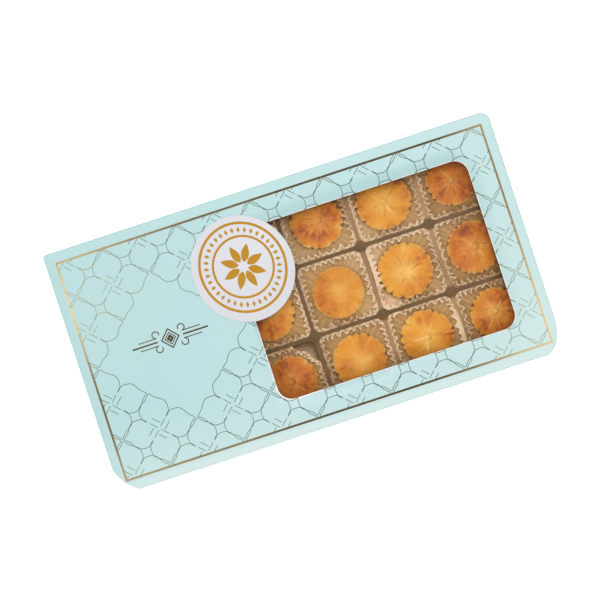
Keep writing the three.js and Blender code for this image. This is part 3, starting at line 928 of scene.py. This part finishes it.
def buildCookieMaterial():
    look = cookieLook
    material, tree, shader = startMaterial(
        "bakedCrust", Subsurface_Weight=0.05, Subsurface_Scale=0.002, Subsurface_Radius=(1.0, 0.5, 0.2),
        Specular_IOR_Level=0.1)
    blotches = softPatches(tree, 210.0, 0.34, 0.62)
    flecks = softPatches(tree, 520.0, 0.50, 0.78, (0.3, 0.1, 0.0))
    tan = times(tree, mapped(tree, blotches, 0, 1, 0.6, 1.3), attribute(tree, "tan"))
    ground = mixColour(tree, tan, look["golden"], look["orange"])
    bake = times(tree, mapped(tree, blotches, 0, 1, 0.8, 1.1), attribute(tree, "bake"))
    toasted = mixColour(tree, mapped(tree, bake, 0.0, 0.6), ground, look["toast"])
    toasted = mixColour(tree, mapped(tree, bake, 0.5, 1.3), toasted, look["brown"])
    lighter = mixColour(tree, times(tree, attribute(tree, "pale"), 0.85), toasted, look["pale"])
    flecked = mixColour(tree, times(tree, flecks, 0.10), lighter, look["pale"])
    colour = mixColour(tree, times(tree, attribute(tree, "creaseShade"), 0.62), flecked, look["creaseShade"])
    tree.links.new(mapped(tree, blotches, 0, 1, 0.50, 0.66), shader.inputs["Roughness"])
    grainCoat(tree, shader, colour, 1000.0, 0.22, 0.7, 0.0006)
    return material


def cookieProfile(height, radius):
    # From the foot to the middle: share of the radius, share of the height, share of the teeth's depth
    knots = np.array([
        (0.80, 0.00, 0.0), (0.88, 0.00, 0.1), (0.94, 0.06, 0.2), (0.975, 0.20, 0.25), (0.99, 0.42, 0.3),
        (1.00, 0.60, 0.35), (1.00, 0.82, 0.9), (0.985, 0.895, 1.0), (0.94, 0.943, 0.8), (0.84, 0.965, 0.45),
        (0.62, 0.978, 0.1), (0.42, 0.986, 0.0), (0.22, 0.99, 0.0), (0.0, 0.99, 0.0)])
    leaps = np.hypot(np.diff(knots[:, 0]), np.diff(knots[:, 1]) * height / radius)
    travel = np.concatenate([[0], np.cumsum(leaps)])
    steps = np.linspace(0, travel[-1], cookieLook["heightSteps"] + 1)[:-1]
    profile = np.column_stack([np.interp(steps, travel, knots[:, i]) for i in range(3)])
    smooth = profile.copy()
    for offset in (-2, -1, 1, 2):
        smooth[2:-2] += profile[2 + offset:len(profile) - 2 + offset]
    smooth[2:-2] /= 5
    return smooth


def cookiePattern(kind, draw):
    # Returns a function that gives the pale rays and heart, the cracks, the ring in the middle, its collar,
    # the facets between the rays and the fine streaks, at points in metres from the middle of the pattern
    look = cookieLook
    rays, cracks, facets = look["rays"], look["cracks"], look["facets"]
    turn = math.radians(kind["turn"])
    rayTurn = turn + (np.arange(rays) + draw.uniform(-0.4, 0.4, rays)) * 2 * np.pi / rays
    rayLength, rayShare = draw.uniform(5, 10.5, rays) * mm, draw.uniform(0.25, 0.9, rays)
    raySpread = draw.uniform(0.08, 0.22, rays)
    crackShare, crackEnd = draw.uniform(0.0, 1.1, cracks) ** 3, draw.uniform(6, 11, cracks) * mm
    facetTone = np.append(v := draw.uniform(-1, 1, facets), v[0])
    streaks = look["streaks"]
    streakTone = np.append(v := draw.uniform(-1, 1, streaks), v[0])

    def pattern(x, y):
        arc, angle = np.hypot(x, y), np.arctan2(y, x)
        apart = np.abs((angle[:, None] - rayTurn + np.pi) % (2 * np.pi) - np.pi) * arc[:, None]
        left = np.clip(1 - (arc[:, None] / rayLength) ** 2, 0, 1)
        rayHalf = look["rayRoot"] + raySpread * arc[:, None] * left
        pale = (np.exp(-(apart / rayHalf) ** 2) * left ** 0.7 * rayShare).max(axis=1) * kind["rays"]
        streak = np.interp((angle / (2 * np.pi)) % 1 * streaks, np.arange(streaks + 1), streakTone)
        place = (angle / (2 * np.pi)) % 1 * facets
        place = np.floor(place) + np.clip((place % 1 - 0.3) / 0.4, 0, 1)
        facet = np.interp(place, np.arange(facets + 1), facetTone)
        pale = np.maximum(pale, kind["glow"] * np.exp(-(arc / look["heartReach"] / (1 + 0.25 * facet)) ** 2))
        place = (angle - turn) * cracks / (2 * np.pi) + 0.12 * np.sin(angle * 3 + turn)
        field = np.floor(place).astype(int) % cracks
        apart = np.abs(place - np.floor(place) - 0.5) * 2 * np.pi / cracks * arc
        window = np.clip((arc - look["crackStart"]) / mm, 0, 1)
        window *= np.clip((crackEnd[field] - arc) / (2 * mm), 0, 1)
        crack = np.exp(-(apart / look["crackHalf"]) ** 2) * window * crackShare[field]
        # the ring is deeper and darker on one side; the dark side is painted shade
        hole = np.exp(-((arc - look["dimpleRing"]) / (0.7 * mm)) ** 2) * (0.6 + 0.4 * np.cos(angle + 0.3))
        collar = np.exp(-((arc - 1.6 * look["dimpleRing"]) / (0.6 * mm)) ** 2)
        facet = facet * np.clip((arc - 3 * mm) / (4 * mm), 0, 1)
        return pale, crack, hole, collar, facet, streak

    return pattern


def buildCookie(key):
    look, kind = cookieLook, dict(zip(cookieTraits, cookieKinds[key]))
    low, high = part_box("cookie_" + key)
    centre, height = (low + high) / 2, high.z - low.z
    radius = max((high - low)[:2]) / 2
    draw = np.random.default_rng(sum(ord(c) * 17 ** i for i, c in enumerate(key)))
    pattern = cookiePattern(kind, draw)
    count, teeth = look["angleSteps"], look["teeth"]
    angle = np.arange(count) / count * 2 * np.pi
    toothShare = draw.uniform(0.2, 1.5, teeth)
    toothPhase = (angle - math.radians(kind["turn"])) * teeth / (2 * np.pi) + 0.16 * np.sin(3 * angle)
    toothPhase += 0.12 * np.sin(11 * angle + kind["turn"])
    tooth = (np.abs(toothPhase - np.round(toothPhase)) * 2) ** 1.4
    tooth *= toothShare[np.floor(toothPhase).astype(int) % teeth]
    points, creases, pales, bakes = [], [], [], []
    for reach, rise, bite in cookieProfile(height, radius):
        x, y = radius * reach * np.cos(angle), radius * reach * np.sin(angle)
        spots = list(zip(centre.x + x, centre.y + y))
        onTop = np.clip((rise - 0.86) / 0.08, 0, 1)
        crumb = np.array([smoothNoise(px, py, rise * 0.02, 420) for px, py in spots])
        swell = np.array([smoothNoise(px, py, 7.0, 110) for px, py in spots])
        middleX, middleY = (share * mm * (1 - reach) for share in kind["heart"])
        pale, crack, hole, collar, facet, streak = pattern(x - middleX, y - middleY)
        crack, hole, collar = crack * kind["cracks"], hole * kind["dimple"], collar * kind["dimple"]
        inward = tooth * look["toothDepth"] * kind["teeth"] * bite + (0.5 - swell) * look["wobble"]
        lift = crumb * look["crumb"] + swell * 0.35 * mm - 0.3 * mm
        lift += (pale * 0.22 - crack * 0.55 - facet * 0.12 + collar * 0.2 - hole * 0.8) * mm
        arc = radius * reach
        share = np.maximum(arc - inward, 0.02 * mm) / max(arc, 1e-9)
        points += list(zip(centre.x + x * share, centre.y + y * share, low.z + height * rise + lift * onTop))
        # painted shade in the notches between the teeth, with the cracks and the ring
        notch = tooth * bite * kind["teeth"] * 0.4
        creases += list(np.clip((crack + hole) * onTop + notch, 0, 1))
        # the facets between the rays are some darker, some paler: uneven browning, and partly painted light
        # and shade
        bake = facet * look["facetTone"]
        for degrees, out, size, strength in cookieToasts[key]:
            turn = math.radians(degrees)
            away = np.hypot(x / radius - out * math.cos(turn), y / radius - out * math.sin(turn))
            bake += strength * np.exp(-(away / size) ** 2)
        bake *= 0.7 + 0.6 * crumb + 0.35 * streak
        bakes += list(np.clip(bake * onTop, 0, 1.3))
        # the tips of the teeth high on the side are paler: partly a paler crust, partly painted light
        edge = np.clip((reach - 0.90) / 0.07, 0, 1) * (0.8 - 0.5 * tooth) * np.clip((rise - 0.5) / 0.2, 0, 1)
        lighter = np.clip(pale * onTop * (0.75 + 0.5 * swell) + edge, 0, 1)
        pales += list(np.clip(lighter + np.clip(-bake, 0, 1), 0, 1))
    points = [(centre.x, centre.y, low.z), *points, (centre.x, centre.y, points[-1][2])]
    attributes = {"creaseShade": [0, *creases, creases[-1]], "pale": [0, *pales, pales[-1]],
                  "bake": [0, *bakes, 0], "tan": [kind["tan"]] * len(points)}
    faces = skinFaces(look["heightSteps"], count)
    cookie = addPiece("filled_cookie_" + key, points, faces, [bakedCrust], None, 80, attributes)
    finishPiece(cookie, "cookie_" + key)


bakedCrust = buildCookieMaterial()
for cookieKey in cookieKeys:
    buildCookie(cookieKey)
print("cookies made")

# Foil print on the lid

foilLook = {
    "thickness": 0.03 * mm,
    "overThickness": 0.04 * mm,
    "frameHalf": (124.1 * mm, 63.5 * mm),
    "frameCorners": ((-124.3 * mm, -63.3 * mm), (124.3 * mm, -63.6 * mm),
                     (124.0 * mm, 63.3 * mm), (-123.9 * mm, 63.4 * mm)),
    "frameWidth": 1.25 * mm,
    "lineWidth": 0.38 * mm,
    "pitch": (10.76 * mm, 10.47 * mm),
    "skew": (0.0022, -0.0014),  # of the print: sideways for each step up, and up for each step sideways
    "plainMiddle": (-76.3 * mm, 0.5 * mm),  # the trellis leaves a diamond bare round this point
    "plainReach": 5,
    "columns": (-5, 20),
    # a quarter of a cell's outline, in mm from its middle, from the top of its arc to its tip on the right
    "cellQuarter": ((0, 8.15), (1.8, 7.95), (3.5, 7.35), (5.3, 5.35), (5.75, 4.6), (6.8, 2.9), (8.4, 1.4),
                    (9.9, 0.1)),
    "quarterTurn": 3,  # the last of those points before the outline leaves its neighbour's
    "dashReach": (1.1 * mm, 6.1 * mm),
    "dashApart": 3.0 * mm,
    "step": 1.1 * mm,
    "windowMargin": 0.15 * mm,
    # the foil's colours are painted reflections: bronze where it mirrors dark surroundings, gold where it
    # mirrors something light
    "bronze": (0.058, 0.038, 0.013),
    "gold": (0.63, 0.51, 0.28),
    "lineBronze": (0.073, 0.120, 0.100),
    "lineGold": (0.48, 0.49, 0.31),
    # where the foil mirrors something light: middle, reach along each axis, strength
    "gleams": (
        (-124 * mm, 40 * mm, 66 * mm, 34 * mm, 0.8),
        (-124 * mm, -64 * mm, 75 * mm, 20 * mm, 0.38),
        (124 * mm, -60 * mm, 37 * mm, 58 * mm, 0.74),
        (124 * mm, 64 * mm, 15 * mm, 30 * mm, 0.2),
    ),
    "gleamEnds": (90 * mm, 128 * mm, 0.12),
}


def gleamAt(x, y, z):
    # How light the foil looks at a point
    start, stop, most = foilLook["gleamEnds"]
    gleam = most * max(0.0, min(1.0, (abs(x) - start) / (stop - start)))
    for gleamX, gleamY, reachX, reachY, strength in foilLook["gleams"]:
        gleam += strength * math.exp(-((x - gleamX) / reachX) ** 2 - ((y - gleamY) / reachY) ** 2)
    return min(gleam, 1.0)


def buildFoilMaterial(name, dark, light, metallic=0.25):
    material, tree, shader = startMaterial(name, Metallic=metallic, Specular_IOR_Level=0.1)
    patches = softPatches(tree, 30.0, 0.40, 0.70)
    share = addNode(tree, "ShaderNodeMath", {0: patches, 1: 0.12, 2: attribute(tree, "gleam")},
                    operation="MULTIPLY_ADD", use_clamp=True).outputs[0]
    tree.links.new(mapped(tree, patches, 0, 1, 0.42, 0.55), shader.inputs["Roughness"])
    grainCoat(tree, shader, mixColour(tree, share, dark, light), 2500.0, 0.0, 0.1, 0.00005)
    return material


def addPrint(name, bands, material, gleam):
    # A piece of flat print from closed bands, with gleam(x, y, z) telling how light it looks
    points, faces = joinMeshes(bands)
    finishPiece(addPiece(name, points, faces, [material], attributes={"gleam": [gleam(*p) for p in points]}))


def insideWindow(x, y, grow):
    away, radius = [], lidSize["windowRadius"]
    for place, middle, key in zip((x, y), lidSize["windowCentre"], ("windowLength", "windowWidth")):
        away.append(abs(place - middle) - (lidSize[key] / 2 + grow - radius))
    return (math.hypot(*away) if min(away) > 0 else max(away)) < radius


def onPanel(x, y):
    halfX, halfY = foilLook["frameHalf"]
    return abs(x) < halfX and abs(y) < halfY and not insideWindow(x, y, foilLook["windowMargin"])


def clipPath(path, step, allowed):
    # Cuts a path into pieces of short steps that stay where allowed(x, y) is true
    fine = []
    for ends in zip(path, path[1:]):
        fine += lineSpots(*ends, max(1, math.ceil(math.dist(*ends) / step)))
    fine.append(path[-1])
    pieces, current = [], []
    for spot, following in zip(fine, fine[1:] + fine[-1:]):
        here = allowed(*spot)
        if here:
            current.append(spot)
        if here == allowed(*following):
            continue
        inner, outer = (spot, following) if here else (following, spot)
        for _ in range(12):
            middle = ((inner[0] + outer[0]) / 2, (inner[1] + outer[1]) / 2)
            inner, outer = (middle, outer) if allowed(*middle) else (inner, middle)
        if here:
            pieces.append(current + [inner])
        current = [] if here else [inner]
    pieces.append(current)
    return [p for p in pieces if len(p) > 1 and math.dist(p[0], p[-1]) > 0.2 * mm]


def strip(path, width, base, closed=False, thickness=0.03 * mm):
    # A closed thin band along a path, lying on base(x, y)
    spots = np.array(path)
    before, after = np.roll(spots, 1, axis=0), np.roll(spots, -1, axis=0)
    if not closed:
        before[0], after[-1] = spots[0], spots[-1]

    def unit(vectors):
        return vectors / np.maximum(np.hypot(*vectors.T), 1e-12)[:, None]

    out = unit(after - spots)
    along = unit(unit(spots - before) + out)
    if not closed:
        out[-1] = out[-2]
    across = np.column_stack([-along[:, 1], along[:, 0]])
    normal = np.column_stack([-out[:, 1], out[:, 0]])
    reach = across * (width / np.clip(np.abs((across * normal).sum(axis=1)), 0.5, 1) / 2)[:, None]
    points = []
    for left, right in zip(spots + reach, spots - reach):
        zl, zr = base(*left), base(*right)
        points += [(*left, zl), (*right, zr), (*right, zr + thickness), (*left, zl + thickness)]
    count = len(spots)
    faces = []
    for k in range(count if closed else count - 1):
        a, b = 4 * k, 4 * ((k + 1) % count)
        faces += [(a + i, a + (i + 1) % 4, b + (i + 1) % 4, b + i) for i in range(4)]
    if not closed:
        faces += [capFace(0, 4, True), capFace(4 * count - 4, 4)]
    return points, faces


def smoothPath(spots, steps):
    # Catmull-Rom curve through the spots
    spots = [np.array(p, dtype=float) for p in spots]
    path = []
    for k in range(len(spots) - 1):
        start, stop = spots[k], spots[k + 1]
        before = spots[k - 1] if k else 2 * start - stop
        after = spots[k + 2] if k + 2 < len(spots) else 2 * stop - start
        for t in np.arange(steps) / steps:
            square, cube = 2 * before - 5 * start + 4 * stop - after, 3 * start - before - 3 * stop + after
            path.append(start + ((stop - before) * t + square * t ** 2 + cube * t ** 3) / 2)
    return path + [spots[-1]]


def trellisPaths():
    look = foilLook
    pitchX, pitchY = look["pitch"]
    middleX, middleY = look["plainMiddle"]
    skewX, skewY = look["skew"]
    rows = round(look["frameHalf"][1] / pitchY)
    quarters = {full: smoothPath(look["cellQuarter"][:None if full else look["quarterTurn"] + 1], 4)
                for full in (True, False)}

    def woven(a, b):
        return a % 2 == 0 and b % 2 == 0 and (a + b) % 4 == 2

    def placed(a, b, spots):
        # Spots in metres round a crossing, on the slightly skewed print
        shifted = [(pitchX * a + x, pitchY * b + y) for x, y in spots]
        return [(middleX + x + skewX * y, middleY + y + skewY * x) for x, y in shifted]

    paths = []  # each with whether it lies over the others where they meet
    for a, b in product(range(*look["columns"]), range(-rows, rows + 1)):
        if abs(a) + abs(b) < look["plainReach"]:
            continue
        if (a + b) % 2 == 1:
            sideways = b % 2 == 0
            for side in (-1, 1):
                halves = []
                for end in (-1, 1):
                    tip = (a + end, b) if sideways else (a, b + end)
                    halves.append([(end * x * mm, side * y * mm) for x, y in quarters[not woven(*tip)]])
                outline = halves[0][:0:-1] + halves[1]
                paths.append((placed(a, b, outline if sideways else [(y, x) for x, y in outline]), sideways))
        elif woven(a, b):
            for arm, apart in product(np.radians((45, 135, 225, 315)), (0.0, look["dashApart"])):
                alongX, alongY = math.cos(arm), math.sin(arm)
                dash = [(alongX * reach + alongY * apart, alongY * reach - alongX * apart)
                        for reach in look["dashReach"]]
                paths.append((placed(a, b, dash), False))
    return paths


def buildFoil():
    look = foilLook
    foil = buildFoilMaterial("goldFoil", look["bronze"], look["gold"])
    fine = buildFoilMaterial("fineGoldFoil", look["lineBronze"], look["lineGold"])
    corners, rim = look["frameCorners"], []
    for ends in zip(corners, corners[1:] + corners[:1]):
        rim += lineSpots(*ends, round(math.dist(*ends) / (5 * mm)))
    addPrint("foil_frame", [strip(rim, look["frameWidth"], panelHeight, closed=True)], foil, gleamAt)
    bands = []
    for path, over in trellisPaths():
        thickness = look["overThickness" if over else "thickness"]
        for piece in clipPath(path, look["step"], onPanel):
            bands.append(strip(piece, look["lineWidth"], panelHeight, thickness=thickness))
    addPrint("foil_trellis", bands, fine, lambda x, y, z: 0.6 * gleamAt(x, y, z))
    return foil


goldFoil = buildFoil()
print("foil frame and trellis made")

# Ornament in the place of the printed name

ornamentLook = {
    "centre": (-76.6 * mm, 4.4 * mm),
    "lozenge": (5.0 * mm, 5.4 * mm),
    "lozenges": ((1.0, 0.7 * mm), (0.62, 0.5 * mm), (0.26, 1.3 * mm)),  # each one's size and line width
    "rule": (7.4 * mm, 22.0 * mm),
    "ruleWidth": 0.9 * mm,
    "ruleApart": 2.2 * mm,
    "scrollRadius": 1.9 * mm,
    "scrollDegrees": 290,
    "scrollWidth": 0.6 * mm,
}


def buildOrnament():
    look = ornamentLook
    cx, cy = look["centre"]
    wide, tall = look["lozenge"]
    start, end = look["rule"]
    apart, radius = look["ruleApart"], look["scrollRadius"]
    bands = []
    for share, width in look["lozenges"]:
        x, y = wide * share, tall * share
        diamond = [(cx + x, cy), (cx, cy + y), (cx - x, cy), (cx, cy - y)]
        bands.append(strip(diamond, width, panelHeight, closed=True))
    for side in (-1, 1):
        for row, share, thick in ((0, 1.0, 1.0), (1, 0.72, 0.6), (-1, 0.72, 0.6)):
            y = cy + row * apart
            rule = [(cx + side * x, y) for x in np.linspace(start, start + (end - start) * share, 9)]
            bands.append(strip(rule, look["ruleWidth"] * thick, panelHeight))
        for row in (-1, 1):
            curl = arcPath(cx + side * start, cy + row * (apart + radius), radius, -row * 90,
                           -row * 90 + side * row * look["scrollDegrees"], 16)
            bands.append(strip(curl, look["scrollWidth"], panelHeight))
    addPrint("foil_ornament", bands, goldFoil, lambda x, y, z: 0.0)


buildOrnament()
print("ornament made")

# Label

labelLook = {
    "centre": (-26.2 * mm, 28.5 * mm),
    "radii": (30.4 * mm, 28.3 * mm),
    "tilt": -72.3,
    "outerRing": (25.3 * mm, 23.6 * mm),
    "outerCentre": (-26.02 * mm, 29.28 * mm),
    "innerRing": (17.24 * mm, 16.75 * mm),
    "innerCentre": (-25.67 * mm, 29.5 * mm),
    "outerWidth": 1.5 * mm,
    "innerWidth": 1.3 * mm,
    "steps": 96,
    "beads": 36,
    "beadHalf": (1.0 * mm, 1.7 * mm),
    "petals": 8,
    "petalReach": (2.6 * mm, 13.2 * mm),  # from the middle: root and tip
    "petalHalf": 2.3 * mm,
    "oval": (1.03, 0.965),  # of beads and petals, along the label's long and short axes
    "printThickness": 0.02 * mm,
    "rimHeight": 0.2 * mm,
    "edgeSoftness": 0.12 * mm,
    "paper": (0.635, 0.635, 0.665),
    "paperLight": (0.665, 0.665, 0.695),
    "bronze": (0.40, 0.22, 0.03),
    "gold": (0.50, 0.235, 0.006),
}


def labelSpot(radiusX, radiusY, degrees, centre="centre"):
    tilt, turn = math.radians(labelLook["tilt"]), math.radians(degrees)
    x, y = radiusX * math.cos(turn), radiusY * math.sin(turn)
    return (labelLook[centre][0] + x * math.cos(tilt) - y * math.sin(tilt),
            labelLook[centre][1] + x * math.sin(tilt) + y * math.cos(tilt))


def labelTop(x, y):
    return labelHigh.z - 0.04 * mm  # level all over


def buildLabelPaper():
    look = labelLook
    material, tree, shader = startMaterial(
        "glossyLabelPaper", Roughness=0.6, Coat_Weight=0.06, Coat_Roughness=0.3)
    colour = mixColour(tree, softPatches(tree, 40.0, 0.4, 0.8), look["paper"], look["paperLight"])
    grainCoat(tree, shader, colour, 1600.0, 0.03, 0.05, 0.0001)
    steps = look["steps"]
    (longReach, shortReach), soft = look["radii"], look["edgeSoftness"]
    points = []
    for inset, z in ((0, labelLow.z), (0, labelLow.z + look["rimHeight"]), (soft, labelTop(0, 0))):
        for k in range(steps):
            points.append((*labelSpot(longReach - inset, shortReach - inset, 360 * k / steps), z))
    faces = ringFaces(3, steps) + [capFace(0, steps, True), capFace(2 * steps, steps)]
    label = addPiece("round_label", points, faces, [material], None, 40)
    finishPiece(label, "label")


def flatPlate(reaches, centre):
    # A closed thin plate on the label, over spots that are given by their reach and degrees, anticlockwise
    count = len(reaches)
    wide, narrow = labelLook["oval"]
    spots = [labelSpot(reach * wide, reach * narrow, degrees, centre) for reach, degrees in reaches]
    points = [(x, y, labelTop(x, y) + lift) for lift in (0, labelLook["printThickness"]) for x, y in spots]
    return points, [capFace(0, count, True), capFace(count, count)] + ringFaces(2, count)


def buildLabelPrint():
    look = labelLook
    gold = buildFoilMaterial("labelGold", look["gold"], look["bronze"], metallic=0.0)
    bands, turns = [], np.arange(look["steps"]) * 360 / look["steps"]
    for name in ("outer", "inner"):
        loop = [labelSpot(*look[name + "Ring"], turn, name + "Centre") for turn in turns]
        bands.append(strip(loop, look[name + "Width"], labelTop, True, look["printThickness"]))
    middle = sum(look["outerRing"] + look["innerRing"]) / 4
    acrossHalf, alongHalf = look["beadHalf"]
    swing = math.degrees(acrossHalf / middle)
    for turn in np.arange(look["beads"]) * 360 / look["beads"]:
        bead = [(middle - alongHalf, turn), (middle, turn - swing),
                (middle + alongHalf, turn), (middle, turn + swing)]
        bands.append(flatPlate(bead, "outerCentre"))
    root, tip = look["petalReach"]
    for turn in np.arange(look["petals"]) * 360 / look["petals"]:
        petal = []
        for side, alongs in ((-1, np.arange(10) / 10), (1, 1 - np.arange(10) / 10)):
            for along in alongs:
                reach = root + (tip - root) * along
                swing = math.degrees(side * look["petalHalf"] * math.sin(math.pi * along ** 0.85) / reach)
                petal.append((reach, turn + swing))
        bands.append(flatPlate(petal, "innerCentre"))
    addPrint("label_print", bands, gold, lambda x, y, z: 0.3)


buildLabelPaper()
buildLabelPrint()
print("label made")

# Floor, light and camera

stageLook = {
    "ground": (0.94, 0.94, 0.94),
    "groundLight": (0.96, 0.96, 0.96),
    "groundReach": 3.0,
    "groundGap": 0.2 * mm,  # under the box
    "worldStrength": 0.5,
    # name, place, width and watts
    "lamps": (("key", (0.42, 0.66, 3.2), 1.5, 56), ("fill", (-1.6, -1.0, 2.6), 1.8, 22)),
}


def buildFloor():
    material, tree, shader = startMaterial(
        "whiteGround", Roughness=0.9, Emission_Color=(1.0, 1.0, 1.0, 1.0), Emission_Strength=0.55)
    colour = mixColour(tree, softPatches(tree, 3.0, 0.3, 0.9), stageLook["ground"], stageLook["groundLight"])
    tree.links.new(colour, shader.inputs["Base Color"])
    reach, depth = stageLook["groundReach"], baseLow.z - stageLook["groundGap"]
    corners = [(-reach, -reach, depth), (reach, -reach, depth), (reach, reach, depth), (-reach, reach, depth)]
    addPiece("ground", corners, [(0, 1, 2, 3)], [material])


def addAreaLight(name, place, size, watts):
    lamp = bpy.data.lights.new(name, "AREA")
    lamp.shape, lamp.size, lamp.energy = "DISK", size, watts
    holder = bpy.data.objects.new(name, lamp)
    holder.location = place
    holder.rotation_euler = (-Vector(place)).to_track_quat("-Z", "Y").to_euler()
    bpy.context.scene.collection.objects.link(holder)


def buildLight():
    world = bpy.data.worlds.new("studio")
    world.use_nodes = True
    background = world.node_tree.nodes["Background"]
    background.inputs["Color"].default_value = (1.0, 1.0, 1.0, 1.0)
    background.inputs["Strength"].default_value = stageLook["worldStrength"]
    bpy.context.scene.world = world
    for lamp in stageLook["lamps"]:
        addAreaLight(*lamp)


cameraLook = {
    "aim": (-1.54 * mm, 2.09 * mm),
    "height": 2.5,
    "lens": 270.0,
    "sensor": 36.0,
    "roll": -18.16,
}


def buildCamera():
    look = cameraLook
    lens = bpy.data.cameras.new("overhead")
    lens.lens, lens.sensor_width, lens.clip_end = look["lens"], look["sensor"], 20.0
    holder = bpy.data.objects.new("overhead", lens)
    holder.location = (*look["aim"], lidHigh.z + look["height"])
    holder.rotation_euler = (0, 0, math.radians(look["roll"]))
    bpy.context.scene.collection.objects.link(holder)
    bpy.context.scene.camera = holder


buildFloor()
buildLight()
buildCamera()
bpy.context.scene.view_settings.view_transform = "Standard"
print("stage made")
